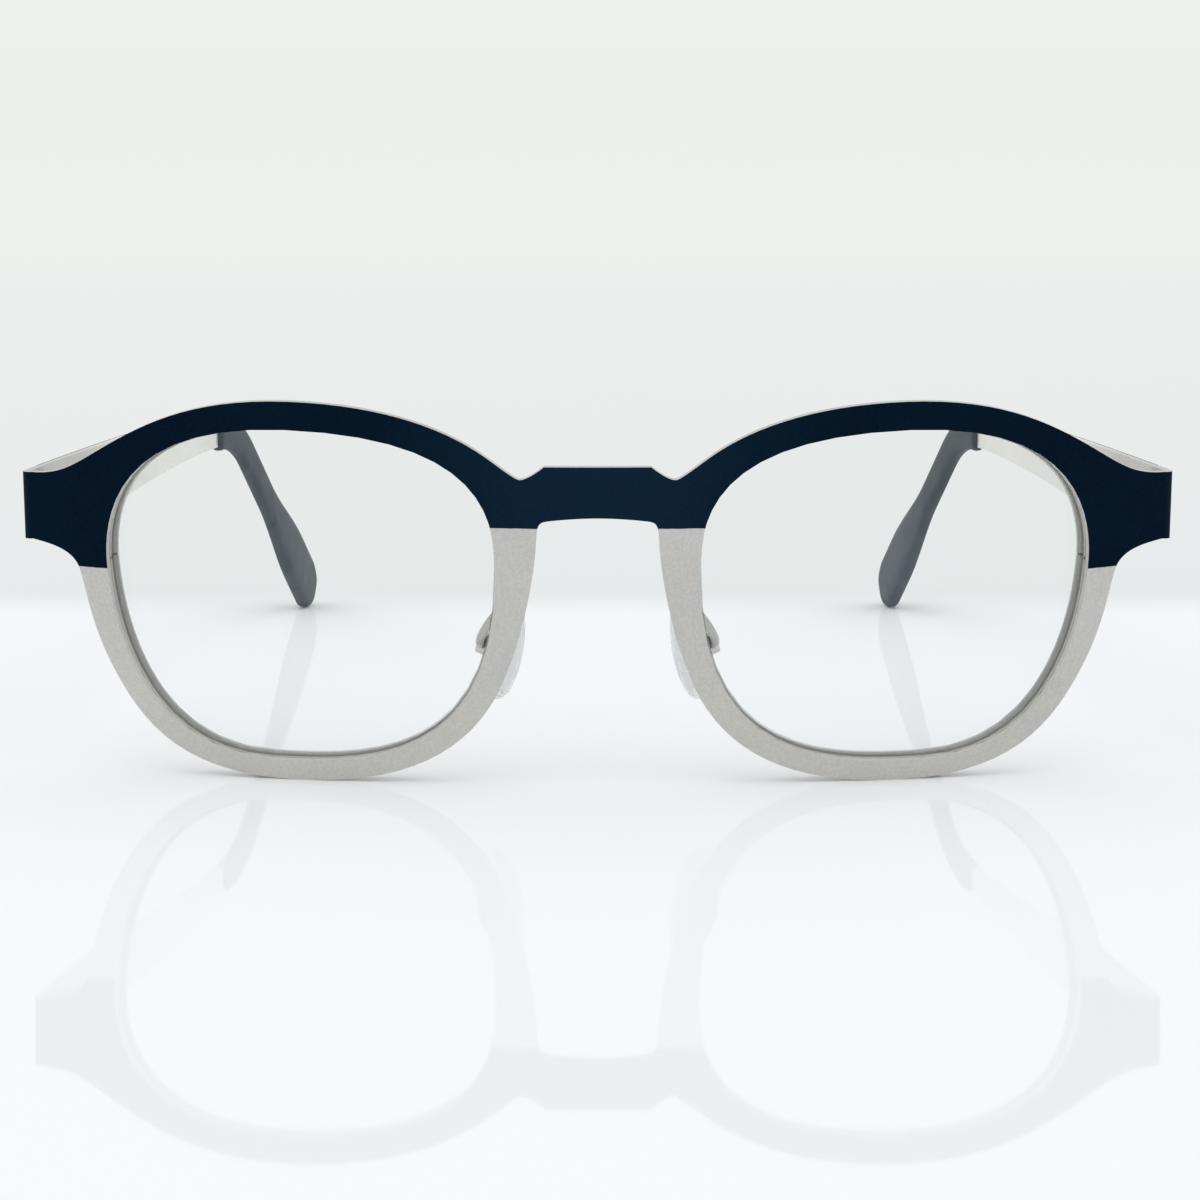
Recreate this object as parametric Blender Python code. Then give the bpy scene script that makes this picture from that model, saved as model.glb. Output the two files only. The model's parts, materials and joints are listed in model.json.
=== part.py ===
"""Two-tone sheet-metal spectacles: bowed front, grooved eyewires, lenses, nose pads, hinges and temples.

The front is designed as a flat blank: s runs along the sheet from the middle, h up the sheet and d
back from its front face. Bowing and folding the blank gives the shape, and the whole front then leans.
"""

import bpy
import bmesh
from math import cos, pi, radians, sin, tan
from mathutils import Matrix, Vector

MM = 0.001

# Eye size, measured along the bowed sheet
LENS_WIDTH = 47.3 * MM
LENS_HEIGHT = 40.3 * MM
LENS_GAP = 24.0 * MM
LENS_THICK = 1.5 * MM
LENS_BEVEL = 0.7 * MM

# Sheet front
SHEET = 0.9 * MM
BOW_RADIUS = 203.0 * MM
END_REACH = 9.55 * MM
LEAN = radians(6.65)
RIM_TOP = 3.4 * MM
RIM_BOTTOM = 2.4 * MM
BRIDGE_HEIGHT = 6.1 * MM
BRIDGE_DROP = 3.7 * MM
BRIDGE_FLAT = 12.5 * MM
NOTCH_DEPTH = 1.55 * MM
END_HEIGHT = 8.2 * MM
END_DROP = 6.95 * MM
FOLD_RADIUS = 1.8 * MM
RETURN_LENGTH = 4.4 * MM

# Eyewire behind the sheet
WIRE_WIDTH = 1.5 * MM
WIRE_DEPTH = 2.5 * MM
GROOVE_DEPTH = 0.7 * MM
WIRE_SPLIT = 0.3 * MM

# Rim lock that closes the split eyewire
LOCK_WIDTH = 1.9 * MM
LOCK_DEPTH = 2.2 * MM
LOCK_HEIGHT = 2.3 * MM
LOCK_SCREW = 1.0 * MM
LOCK_HEAD = 1.5 * MM
LOCK_HEAD_HIGH = 0.6 * MM

# Hinge
TOE_IN = radians(10.0)
BARREL = 2.6 * MM
KNUCKLE = 1.8 * MM
LEAF_THICK = 0.8 * MM
WEB_INSET = 0.13 * MM
LEAF_HEIGHT = 5.0 * MM
FRONT_LEAF = 2.7 * MM
TEMPLE_LEAF = 6.0 * MM
HINGE_SCREW = 1.2 * MM
HINGE_HEAD = 2.2 * MM
HINGE_HEAD_HIGH = 0.7 * MM

# Temple blade and its tip
TEMPLE_HEIGHT = 8.2 * MM
TEMPLE_TO_TIP = 77.0 * MM
TEMPLE_TO_BEND = 87.0 * MM
TEMPLE_NECK = 3.2 * MM
TIP_LENGTH = 51.5 * MM
BEND_RADIUS = 24.0 * MM
TIP_START = 4.8 * MM
TIP_PADDLE = 8.6 * MM
TIP_THICK = 2.6 * MM
TIP_ROUND = 0.9 * MM
CORE_THICK = 0.6 * MM
CORE_WIDTH = 1.8 * MM
CORE_STOP = 14.0 * MM

# Nose pads
PAD_LENGTH = 13.0 * MM
PAD_WIDTH = 7.2 * MM
PAD_THICK = 2.6 * MM
PAD_SPLAY = radians(32.0)
PAD_TILT = radians(14.0)
PAD_BACK = 8.0 * MM
PAD_DROP = 17.6 * MM
PAD_APART = 25.2 * MM
ARM_WIRE = 1.1 * MM
BOX_WIDTH = 2.6 * MM
BOX_DEPTH = 1.8 * MM
BOX_HEIGHT = 2.4 * MM
TONGUE = 0.9 * MM
PAD_SCREW = 0.8 * MM
PAD_HEAD = 1.3 * MM
PAD_HEAD_HIGH = 0.4 * MM

# Clearances
SEAT = 0.1 * MM
RUN = 0.1 * MM
SEAM = 0.15 * MM
LENS_PLAY = 0.25 * MM

# Places on the blank that several pieces share
nose_edge = LENS_GAP / 2
side_edge = nose_edge + LENS_WIDTH
low_edge = RIM_BOTTOM
high_edge = low_edge + LENS_HEIGHT
bridge_top = high_edge - BRIDGE_DROP
bridge_low = bridge_top - BRIDGE_HEIGHT
end_top = high_edge - END_DROP
end_low = end_top - END_HEIGHT
end_mid = end_top - END_HEIGHT / 2
wire_front = SHEET + SEAT
lens_mid = wire_front + WIRE_DEPTH / 2 + 0.1 * MM


fold_at = side_edge + END_REACH
fold_from = fold_at / BOW_RADIUS
fold_turn = pi / 2 + TOE_IN - fold_from
fold_length = FOLD_RADIUS * fold_turn
tab_end = fold_at + fold_length + RETURN_LENGTH


def plan(s, d):
    """Plan position of a blank point: bowed on the front, folded at the end, straight on the return."""
    side = -1 if s < 0 else 1
    s = abs(s)
    angle = min(s, fold_at) / BOW_RADIUS
    x = BOW_RADIUS * sin(angle)
    y = BOW_RADIUS * (1 - cos(angle))
    if s > fold_at:
        turn = min((s - fold_at) / FOLD_RADIUS, fold_turn)
        x += FOLD_RADIUS * (sin(angle + turn) - sin(angle))
        y += FOLD_RADIUS * (cos(angle) - cos(angle + turn))
        angle += turn
        straight = max(s - fold_at - fold_length, 0)
        x += straight * cos(angle)
        y += straight * sin(angle)
    return side * (x - d * sin(angle)), y + d * cos(angle)


def lean_matrix():
    """Turns the upright front so that its top leans forward and its lowest edge stands on the floor."""
    turn = Matrix.Rotation(LEAN, 4, "X")
    foot_s = nose_edge + LENS_WIDTH / 2
    x, y = plan(foot_s, 0)
    lift = -(turn @ Vector((x, y, 0))).z
    return Matrix.Translation((0, 0, lift)) @ turn


LEANED = lean_matrix()


def on_front(s, d, h):
    """World position of a point of the blank."""
    x, y = plan(s, d)
    return LEANED @ Vector((x, y, h))


def front_frame(s, d, h):
    """World matrix at a point of the blank: X along the sheet, Y back from it, Z up it."""
    step = 0.01 * MM
    along = (on_front(s + step, d, h) - on_front(s - step, d, h)).normalized()
    up = LEANED.to_3x3() @ Vector((0, 0, 1))
    matrix = Matrix((along, up.cross(along), up)).transposed().to_4x4()
    matrix.translation = on_front(s, d, h)
    return matrix


def clear_scene():
    for item in list(bpy.data.objects):
        bpy.data.objects.remove(item, do_unlink=True)


def collection(name):
    made = bpy.data.collections.new(name)
    bpy.context.scene.collection.children.link(made)
    return made


def material(name, color, roughness, metallic=0.0, alpha=1.0):
    made = bpy.data.materials.new(name)
    made.use_nodes = True
    shader = made.node_tree.nodes["Principled BSDF"]
    shader.inputs["Base Color"].default_value = (*color, 1.0)
    shader.inputs["Roughness"].default_value = roughness
    shader.inputs["Metallic"].default_value = metallic
    shader.inputs["Alpha"].default_value = alpha
    made.diffuse_color = (*color, alpha)
    return made


clear_scene()
PARTS = collection("eyeglasses")
CUTTERS = collection("cutters")
NAVY = material("navy_lacquer", (0.004, 0.011, 0.025), 0.55)
STEEL = material("blasted_steel", (0.47, 0.46, 0.43), 0.42, 1.0)
BRIGHT = material("bright_steel", (0.55, 0.55, 0.54), 0.25, 1.0)
NICKEL = material("nickel_silver", (0.50, 0.48, 0.44), 0.32, 1.0)
CLEAR = material("clear_lens", (0.95, 0.97, 0.98), 0.03, 0.0, 0.15)
SILICONE = material("clear_silicone", (0.86, 0.88, 0.88), 0.35, 0.0, 0.5)
SLATE = material("slate_acetate", (0.16, 0.19, 0.22), 0.35)


def add(name, mesh, look, where=PARTS):
    made = bpy.data.objects.new(name, mesh)
    mesh.materials.clear()
    mesh.materials.append(look)
    where.objects.link(made)
    return made


def mesh_from(build, name):
    mesh = bpy.data.meshes.new(name)
    build.normal_update()
    build.to_mesh(mesh)
    build.free()
    return mesh


def face_out(build):
    """Points every face of a closed mesh outward."""
    bmesh.ops.recalc_face_normals(build, faces=build.faces)
    if build.calc_volume(signed=True) < 0:
        bmesh.ops.reverse_faces(build, faces=build.faces)


def curve_mesh(name, splines, extrude=0.0, bevel=0.0, bevel_rows=0, offset=0.0, flat=True, rows=6):
    """Mesh of a curve whose splines are lists of (point, handle before, handle after)."""
    data = bpy.data.curves.new(name, "CURVE")
    data.dimensions = "2D" if flat else "3D"
    data.resolution_u = rows
    data.extrude = extrude
    data.bevel_depth = bevel
    data.bevel_resolution = bevel_rows
    data.offset = offset
    if flat:
        data.fill_mode = "BOTH"
    else:
        data.fill_mode = "FULL"
        data.use_fill_caps = True
    for knots in splines:
        spline = data.splines.new("BEZIER")
        spline.bezier_points.add(len(knots) - 1)
        spline.use_cyclic_u = flat
        for knot, (point, before, after) in zip(spline.bezier_points, knots):
            knot.handle_left_type = "FREE"
            knot.handle_right_type = "FREE"
            knot.co = (*point, 0) if flat else point
            knot.handle_left = (*before, 0) if flat else before
            knot.handle_right = (*after, 0) if flat else after
    return solid_mesh(data, name)


def solid_mesh(data, name):
    """Closed mesh of a curve, with its caps welded."""
    guide = bpy.data.objects.new(name, data)
    CUTTERS.objects.link(guide)
    bpy.context.view_layer.update()
    graph = bpy.context.evaluated_depsgraph_get()
    mesh = bpy.data.meshes.new_from_object(guide.evaluated_get(graph))
    bpy.data.objects.remove(guide, do_unlink=True)
    bpy.data.curves.remove(data)
    build = bmesh.new()
    build.from_mesh(mesh)
    bmesh.ops.remove_doubles(build, verts=build.verts, dist=0.002 * MM)
    bmesh.ops.dissolve_limit(build, angle_limit=radians(0.05), verts=build.verts, edges=build.edges)
    face_out(build)
    build.to_mesh(mesh)
    build.free()
    return mesh


def knot(s, h, heading=0.0, before=0.0, after=0.0):
    """A curve point with its handles, which lie along one heading given in degrees."""
    way = Vector((cos(radians(heading)), sin(radians(heading))))
    point = Vector((s, h))
    return point, point - way * before, point + way * after


def mirrored_knots(knots):
    def flip(v):
        return Vector((-v.x, v.y))

    return [(flip(p), flip(after), flip(before)) for p, before, after in reversed(knots)]


def eye_knots():
    """Lens opening in the blank: four knots at its extremes, with handles that set its fullness."""
    crown = nose_edge + 0.523 * LENS_WIDTH
    foot = nose_edge + 0.58 * LENS_WIDTH
    waist = low_edge + 0.597 * LENS_HEIGHT
    up = high_edge - waist
    down = waist - low_edge
    return [
        knot(nose_edge, waist, 90, 1.0 * down, 0.36 * up),
        knot(crown, high_edge, 0, 0.965 * (crown - nose_edge), 0.925 * (side_edge - crown)),
        knot(side_edge, waist, -90, 0.27 * up, 0.02 * down),
        knot(foot, low_edge, 180, 1.0 * (side_edge - foot), 0.42 * (foot - nose_edge)),
    ]


def half_front_knots():
    """Outer edge of the right half of the blank, from the bridge's top round to its underside."""
    crown = nose_edge + 0.513 * LENS_WIDTH
    tab_drop = (tab_end - fold_at) * cos(TOE_IN) * tan(LEAN)
    tab_skew = END_HEIGHT / 2 * tan(LEAN) / cos(TOE_IN)
    notch = bridge_top - NOTCH_DEPTH
    return [
        knot(BRIDGE_FLAT / 2, bridge_top),
        knot(nose_edge - 2.93 * MM, notch, 0, 1.0 * MM, 0.66 * MM),
        knot(nose_edge + 2.14 * MM, high_edge - 1.88 * MM, 32.7, 2.53 * MM, 5.77 * MM),
        knot(crown, high_edge + RIM_TOP, 0, 10.1 * MM, 10.6 * MM),
        knot(side_edge - 0.6 * MM, end_top + 4.05 * MM, -31, 6.36 * MM, 4.96 * MM),
        knot(fold_at, end_top, 0, 4.23 * MM, 0),
        knot(tab_end + tab_skew, end_top - tab_drop),
        knot(tab_end - tab_skew, end_low - tab_drop),
        knot(fold_at, end_low, 190, 0, 2.3 * MM),
        knot(side_edge + 3.5 * MM, end_low - 3.3 * MM, 252.7, 2.58 * MM, 2.58 * MM),
        knot(side_edge - 0.85 * MM, low_edge + 9.26 * MM, 240.6, 6.38 * MM, 7.23 * MM),
        knot(crown, low_edge - RIM_BOTTOM, 180, 13.8 * MM, 11.6 * MM),
        knot(nose_edge + 0.86 * MM, low_edge + 7.27 * MM, 123.2, 7.88 * MM, 5.22 * MM),
        knot(nose_edge - 4.8 * MM, bridge_low - 2.8 * MM, 92.8, 6.71 * MM, 2.2 * MM),
        knot(nose_edge - 6.4 * MM, bridge_low - 0.35 * MM, 173, 1.2 * MM, 1.5 * MM),
    ]


def cut_strips(build, places, axis):
    """Cuts the mesh across at each place along an axis, so that it can bend there."""
    normal = Vector((0, 0, 0))
    normal[axis] = 1
    for place in places:
        every = list(build.verts) + list(build.edges) + list(build.faces)
        bmesh.ops.bisect_plane(build, geom=every, plane_co=normal * place, plane_no=normal, dist=0.001 * MM)


def strip_places(reach, step):
    count = int(reach / step)
    return [side * step * i for side in (-1, 1) for i in range(1, count + 1)] + [0.0]


def bent(mesh, places):
    """Cuts a flat mesh (x along the sheet, y up it, z back) into strips and puts it on the front."""
    build = bmesh.new()
    build.from_mesh(mesh)
    bmesh.ops.dissolve_limit(build, angle_limit=radians(0.5), verts=build.verts, edges=build.edges)
    cut_strips(build, places, 0)
    bmesh.ops.triangulate(build, faces=[f for f in build.faces if len(f.verts) > 4])
    for vert in build.verts:
        vert.co = on_front(vert.co.x, vert.co.z, vert.co.y)
    face_out(build)
    build.to_mesh(mesh)
    build.free()
    return mesh


def slid(mesh, depth):
    """Moves a flat mesh, centred on its thickness, back by a depth."""
    mesh.transform(Matrix.Translation((0, 0, depth)))
    return mesh


def left_of(right, name):
    """The mirror image of a right-hand piece."""
    mesh = right.data.copy()
    build = bmesh.new()
    build.from_mesh(mesh)
    for vert in build.verts:
        vert.co.x = -vert.co.x
    bmesh.ops.reverse_faces(build, faces=build.faces)
    build.to_mesh(mesh)
    build.free()
    mesh.name = name
    return add(name, mesh, right.data.materials[0])


def apply_modifiers(item):
    """Keeps the evaluated mesh, so that a mirrored copy has the same cuts."""
    bpy.context.view_layer.update()
    graph = bpy.context.evaluated_depsgraph_get()
    mesh = bpy.data.meshes.new_from_object(item.evaluated_get(graph))
    item.modifiers.clear()
    item.data = mesh


def combine(item, other, operation):
    """Joins a helper to a piece, or cuts it out, and removes the helper."""
    modifier = item.modifiers.new(operation.lower(), "BOOLEAN")
    modifier.operation = operation
    modifier.solver = "EXACT"
    modifier.object = other
    apply_modifiers(item)
    bpy.data.objects.remove(other, do_unlink=True)


def helper(mesh):
    made = add("helper", mesh, STEEL, CUTTERS)
    made.hide_render = True
    made.display_type = "WIRE"
    return made


def box_mesh(size, place):
    build = bmesh.new()
    bmesh.ops.create_cube(build, size=1.0, matrix=place @ Matrix.Diagonal((*size, 1.0)))
    return mesh_from(build, "box")


def rod_mesh(diameter, length, place, sides=20):
    build = bmesh.new()
    bmesh.ops.create_cone(
        build, cap_ends=True, segments=sides, radius1=diameter / 2, radius2=diameter / 2,
        depth=length, matrix=place,
    )
    return mesh_from(build, "rod")


def smooth(item, angle=35):
    item.data.shade_smooth()
    item.data.set_sharp_from_angle(angle=radians(angle))


def front_plate():
    half = half_front_knots()
    middle = knot(0, bridge_low, 180, 2.0 * MM, 2.0 * MM)
    outer = half + [middle] + mirrored_knots(half)
    eye = eye_knots()
    mesh = curve_mesh("front_plate", [outer, eye, mirrored_knots(eye)], extrude=SHEET / 2, rows=14)
    folds = [
        side * (fold_at + fold_length * i / 6) for side in (-1, 1) for i in range(7)
    ]
    slid(mesh, SHEET / 2)
    return add("front_plate", bent(mesh, strip_places(fold_at - 1.0 * MM, 3.2 * MM) + folds), NAVY)


def eyewire():
    """Grooved wire behind the rim, swept round the opening and split at its outer side."""
    groove = LENS_THICK / 2 + SEAT
    mid = lens_mid - wire_front - WIRE_DEPTH / 2
    back = WIRE_DEPTH / 2
    section = [
        (0, -back), (WIRE_WIDTH, -back), (WIRE_WIDTH, back), (0, back),
        (0, mid + groove), (GROOVE_DEPTH, mid), (0, mid - groove),
    ]
    profile = bpy.data.curves.new("section", "CURVE")
    profile.dimensions = "2D"
    spline = profile.splines.new("POLY")
    spline.points.add(len(section) - 1)
    spline.use_cyclic_u = True
    for point, (out, depth) in zip(spline.points, section):
        point.co = (-out, depth, 0, 1)
    shape = bpy.data.objects.new("section", profile)
    CUTTERS.objects.link(shape)
    path = bpy.data.curves.new("eyewire", "CURVE")
    path.dimensions = "2D"
    path.fill_mode = "NONE"
    path.resolution_u = 18
    path.bevel_mode = "OBJECT"
    path.bevel_object = shape
    loop = path.splines.new("BEZIER")
    knots = eye_knots()
    loop.bezier_points.add(len(knots) - 1)
    loop.use_cyclic_u = True
    for place, (point, before, after) in zip(loop.bezier_points, knots):
        place.handle_left_type = "FREE"
        place.handle_right_type = "FREE"
        place.co = (*point, 0)
        place.handle_left = (*before, 0)
        place.handle_right = (*after, 0)
    mesh = solid_mesh(path, "eyewire_right")
    bpy.data.objects.remove(shape, do_unlink=True)
    slid(mesh, wire_front + WIRE_DEPTH / 2)
    wire = add("eyewire_right", bent(mesh, []), STEEL)
    slit = front_frame(side_edge, lens_mid, lock_mid())
    combine(wire, helper(box_mesh((4 * WIRE_WIDTH, 3 * WIRE_DEPTH, WIRE_SPLIT), slit)), "DIFFERENCE")
    smooth(wire)
    return wire


def lock_mid():
    """Height of the eyewire's split, below the temple's path."""
    return end_low - 1.9 * MM


def lens():
    edge = 0.05 * MM
    reach = LENS_BEVEL - LENS_PLAY
    mesh = curve_mesh(
        "lens_right", [eye_knots()], extrude=edge, bevel=LENS_THICK / 2 - edge,
        offset=reach - (LENS_THICK / 2 - edge), rows=14,
    )
    slid(mesh, lens_mid)
    places = [nose_edge + LENS_WIDTH * i / 14 for i in range(1, 14)]
    made = add("lens_right", bent(mesh, places), CLEAR)
    smooth(made, 20)
    return made


def rim_lock():
    """Two blocks on the eyewire's ends and the screw that draws them together."""
    mid_s = side_edge + WIRE_WIDTH + SEAT + LOCK_WIDTH / 2
    mid_d = wire_front + SEAT + LOCK_DEPTH / 2
    made = []
    for name, sign in (("rim_lock_upper_right", 1), ("rim_lock_lower_right", -1)):
        rise = sign * (WIRE_SPLIT / 2 + LOCK_HEIGHT / 2)
        place = front_frame(mid_s, mid_d, lock_mid() + rise)
        block = add(name, box_mesh((LOCK_WIDTH, LOCK_DEPTH, LOCK_HEIGHT), place), NICKEL)
        bore = rod_mesh(LOCK_SCREW + 2 * RUN, 2 * LOCK_HEIGHT, place)
        combine(block, helper(bore), "DIFFERENCE")
        made.append(block)
    length = 2 * LOCK_HEIGHT + WIRE_SPLIT
    place = front_frame(mid_s, mid_d, lock_mid())
    drop = length / 2 + SEAT + LOCK_HEAD_HIGH / 2
    shaft = place @ Matrix.Translation((0, 0, (length / 2 - drop) / 2))
    screw = add("rim_lock_screw_right", rod_mesh(LOCK_SCREW, length / 2 + drop, shaft), BRIGHT)
    head = rod_mesh(LOCK_HEAD, LOCK_HEAD_HIGH, place @ Matrix.Translation((0, 0, -drop)))
    combine(screw, helper(head), "UNION")
    slot_at = place @ Matrix.Translation((0, 0, -drop - LOCK_HEAD_HIGH / 2))
    slot = box_mesh((2 * LOCK_HEAD, LOCK_HEAD / 5, LOCK_HEAD_HIGH), slot_at)
    combine(screw, helper(slot), "DIFFERENCE")
    return made + [screw]


def seam_point():
    """Middle of the return's rear edge, on its outer face."""
    drop = (tab_end - fold_at) * cos(TOE_IN) * tan(LEAN)
    return on_front(tab_end, 0, end_mid - drop)


def temple_frame():
    """Frame of the right temple: X back along it, Y inward from its outer face, Z up; at the seam."""
    back = Vector((-sin(TOE_IN), cos(TOE_IN), 0))
    inward = Vector((-cos(TOE_IN), -sin(TOE_IN), 0))
    matrix = Matrix((back, inward, Vector((0, 0, 1)))).transposed().to_4x4()
    matrix.translation = seam_point()
    return matrix


AXIS_IN = SHEET + 2 * SEAT + BARREL / 2 + 0.05 * MM


def at_temple(x, y, z):
    return temple_frame() @ Matrix.Translation((x, y, z))


def hinge_leaf(name, start, length, levels):
    """A leaf soldered inside the wall, with knuckles at the given heights round the hinge axis."""
    low = SHEET + SEAT
    away = 1 if start > 0 else -1
    mid = start + away * length / 2
    leaf = add(
        name,
        box_mesh((length, LEAF_THICK, LEAF_HEIGHT), at_temple(mid, low + LEAF_THICK / 2, 0)),
        NICKEL,
    )
    for level in levels:
        near = 0.11 * BARREL
        reach = abs(start) + length / 4 - near
        web = box_mesh(
            (reach, LEAF_THICK - 2 * WEB_INSET, KNUCKLE - 2 * WEB_INSET),
            at_temple(away * (near + reach / 2), low + LEAF_THICK / 2, level),
        )
        combine(leaf, helper(web), "UNION")
        combine(leaf, helper(rod_mesh(BARREL, KNUCKLE, at_temple(0, AXIS_IN, level), 24)), "UNION")
    bore = rod_mesh(HINGE_SCREW + 2 * RUN, 4 * LEAF_HEIGHT, at_temple(0, AXIS_IN, 0))
    combine(leaf, helper(bore), "DIFFERENCE")
    smooth(leaf)
    return leaf


def hinge():
    pitch = KNUCKLE + RUN
    clear = BARREL / 2 + 2 * RUN
    front = hinge_leaf("hinge_front_leaf_right", -clear, FRONT_LEAF, (pitch, -pitch))
    temple = hinge_leaf("hinge_temple_leaf_right", clear, TEMPLE_LEAF, (0,))
    top = pitch + KNUCKLE / 2
    head_mid = top + SEAT + HINGE_HEAD_HIGH / 2
    length = top + head_mid
    mid = head_mid - length / 2
    screw = add("hinge_screw_right", rod_mesh(HINGE_SCREW, length, at_temple(0, AXIS_IN, mid)), BRIGHT)
    head = rod_mesh(HINGE_HEAD, HINGE_HEAD_HIGH, at_temple(0, AXIS_IN, head_mid))
    combine(screw, helper(head), "UNION")
    slot = box_mesh(
        (2 * HINGE_HEAD, HINGE_HEAD / 5, HINGE_HEAD_HIGH),
        at_temple(0, AXIS_IN, head_mid + HINGE_HEAD_HIGH * 0.55),
    )
    combine(screw, helper(slot), "DIFFERENCE")
    smooth(screw)
    return front, temple, screw


def tip_drop():
    """Downward angle of the tip past its bend, found so that the paddle's end rests on the floor."""
    least, most = radians(20), radians(55)
    paddle = TIP_PADDLE / 2
    for _ in range(40):
        angle = (least + most) / 2
        past = tip_end() - paddle - TEMPLE_TO_BEND + BEND_RADIUS * (tan(angle / 2) - angle)
        fall = BEND_RADIUS * (1 - cos(angle)) + past * sin(angle)
        if seam_point().z + tip_rise() - fall > paddle:
            least = angle
        else:
            most = angle
    return angle


def tip_line(along):
    """Centre line of the bent tip in the temple's plane: place and downward angle at a distance along it."""
    half = BEND_RADIUS * tan(TIP_DROP / 2)
    start = TEMPLE_TO_BEND - half
    arc = BEND_RADIUS * TIP_DROP
    if along <= start:
        return Vector((along, tip_rise())), 0.0
    turn = min((along - start) / BEND_RADIUS, TIP_DROP)
    x = start + BEND_RADIUS * sin(turn)
    z = tip_rise() - BEND_RADIUS * (1 - cos(turn))
    past = max(along - start - arc, 0)
    return Vector((x + past * cos(TIP_DROP), z - past * sin(TIP_DROP))), turn


def tip_rise():
    """Height of the straight tip's centre line over the seam's middle."""
    return -0.05 * TEMPLE_HEIGHT


def tip_end():
    return TEMPLE_TO_BEND + TIP_LENGTH


TIP_DROP = tip_drop()


def ribbon(stations):
    """Points round the tip's centre line, from (distance along, half width) stations."""
    upper = []
    lower = []
    for along, half in stations:
        place, turn = tip_line(along)
        side = Vector((sin(turn), cos(turn)))
        upper.append(place + side * half)
        lower.append(place - side * half)
    return upper + lower[::-1]


def corner_knots(points):
    return [(point, point, point) for point in points]


def smooth_knots(points):
    """Knots through a closed ring of points, with handles along the chord of the neighbours."""
    made = []
    count = len(points)
    for i, point in enumerate(points):
        before = points[i - 1]
        after = points[(i + 1) % count]
        chord = after - before
        way = chord.normalized() if chord.length > 0 else Vector((1, 0))
        made.append((point, point - way * (point - before).length / 3, point + way * (after - point).length / 3))
    return made


def in_temple(mesh, depth):
    """Stands a flat mesh (x along, y up, z thick) in the temple's plane at a depth from its outer face."""
    stand = Matrix(((1, 0, 0, 0), (0, 0, 1, 0), (0, 1, 0, 0), (0, 0, 0, 1)))
    build = bmesh.new()
    build.from_mesh(mesh)
    bmesh.ops.transform(build, matrix=temple_frame() @ Matrix.Translation((0, depth, 0)) @ stand, verts=build.verts)
    face_out(build)
    build.to_mesh(mesh)
    build.free()
    return mesh


def core_stations(extra=0.0):
    half = CORE_WIDTH / 2 + extra
    bend = TEMPLE_TO_BEND - BEND_RADIUS * tan(TIP_DROP / 2)
    arc = BEND_RADIUS * TIP_DROP
    places = [TEMPLE_TO_TIP - 3.0 * MM]
    places += [bend + arc * i / 6 for i in range(7)]
    places += [tip_end() - CORE_STOP + extra]
    return [(place, half) for place in places]


def temple():
    """Blade of sheet steel that narrows to a neck, with a thin core that runs on into the tip."""
    top = TEMPLE_HEIGHT / 2
    rise = tip_rise()
    neck = TEMPLE_NECK / 2
    outline = [
        knot(SEAM, top),
        knot(0.55 * TEMPLE_TO_TIP, top - 0.1 * MM, -1.5, 12 * MM, 9 * MM),
        knot(TEMPLE_TO_TIP - SEAM, rise + neck, -2, 9 * MM, 0),
        knot(TEMPLE_TO_TIP - SEAM, rise - neck, 178, 0, 9 * MM),
        knot(0.42 * TEMPLE_TO_TIP, -top + 0.3 * MM, 186, 11 * MM, 8 * MM),
        knot(SEAM, -top),
    ]
    blade = in_temple(curve_mesh("temple_right", [outline], extrude=SHEET / 2, rows=8), SHEET / 2)
    made = add("temple_right", blade, STEEL)
    core = curve_mesh("core", [corner_knots(ribbon(core_stations()))], extrude=CORE_THICK / 2, rows=1)
    combine(made, helper(in_temple(core, SHEET / 2)), "UNION")
    return made


def temple_tip():
    """Moulded tip: rounded edges, a paddle that widens to its end, and a pocket for the core."""
    first = TEMPLE_TO_TIP + TIP_ROUND
    bend = TEMPLE_TO_BEND
    last = tip_end() - TIP_ROUND
    start = TIP_START / 2 - TIP_ROUND
    wide = TIP_PADDLE / 2 - TIP_ROUND
    stations = [
        (first, start),
        (bend - 6 * MM, start * 1.04),
        (bend + 4 * MM, start * 1.1),
        (bend + 14 * MM, start + (wide - start) * 0.42),
        (bend + 26 * MM, start + (wide - start) * 0.85),
        (last - wide, wide),
        (last - 0.48 * wide, wide * 0.85),
        (last - 0.13 * wide, wide * 0.5),
        (last, wide * 0.12),
    ]
    knots = smooth_knots(ribbon(stations))
    point, before, after = knots[0]
    knots[0] = (point, point, after)
    point, before, after = knots[-1]
    knots[-1] = (point, before, point)
    mesh = curve_mesh(
        "temple_tip_right", [knots], extrude=TIP_THICK / 2 - TIP_ROUND, bevel=TIP_ROUND,
        bevel_rows=2, rows=5,
    )
    made = add("temple_tip_right", in_temple(mesh, SHEET / 2), SLATE)
    pocket = curve_mesh(
        "pocket", [corner_knots(ribbon(core_stations(SEAT)))], extrude=CORE_THICK / 2 + SEAT, rows=1,
    )
    combine(made, helper(in_temple(pocket, SHEET / 2)), "DIFFERENCE")
    smooth(made, 50)
    return made


def pad_frame():
    """Frame of the right pad at its screw: X along the screw, Y away from the nose, Z up the pad."""
    place = Vector((PAD_APART / 2, PAD_BACK, bridge_low - PAD_DROP))
    turn = Matrix.Rotation(pi / 2 - PAD_SPLAY, 4, "Z") @ Matrix.Rotation(-PAD_TILT, 4, "X")
    flip = Matrix.Diagonal((1, -1, 1, 1))
    return LEANED @ Matrix.Translation(place) @ turn @ flip


def at_pad(x, y, z):
    return pad_frame() @ Matrix.Translation((x, y, z))


def upright(mesh):
    """Makes the faces of a mesh that a mirroring matrix turned round point outward again."""
    build = bmesh.new()
    build.from_mesh(mesh)
    face_out(build)
    build.to_mesh(mesh)
    build.free()
    return mesh


ACROSS = Matrix.Rotation(pi / 2, 4, "Y")
PAD_FACE = -(BOX_DEPTH / 2 + 0.5 * MM)


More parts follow.
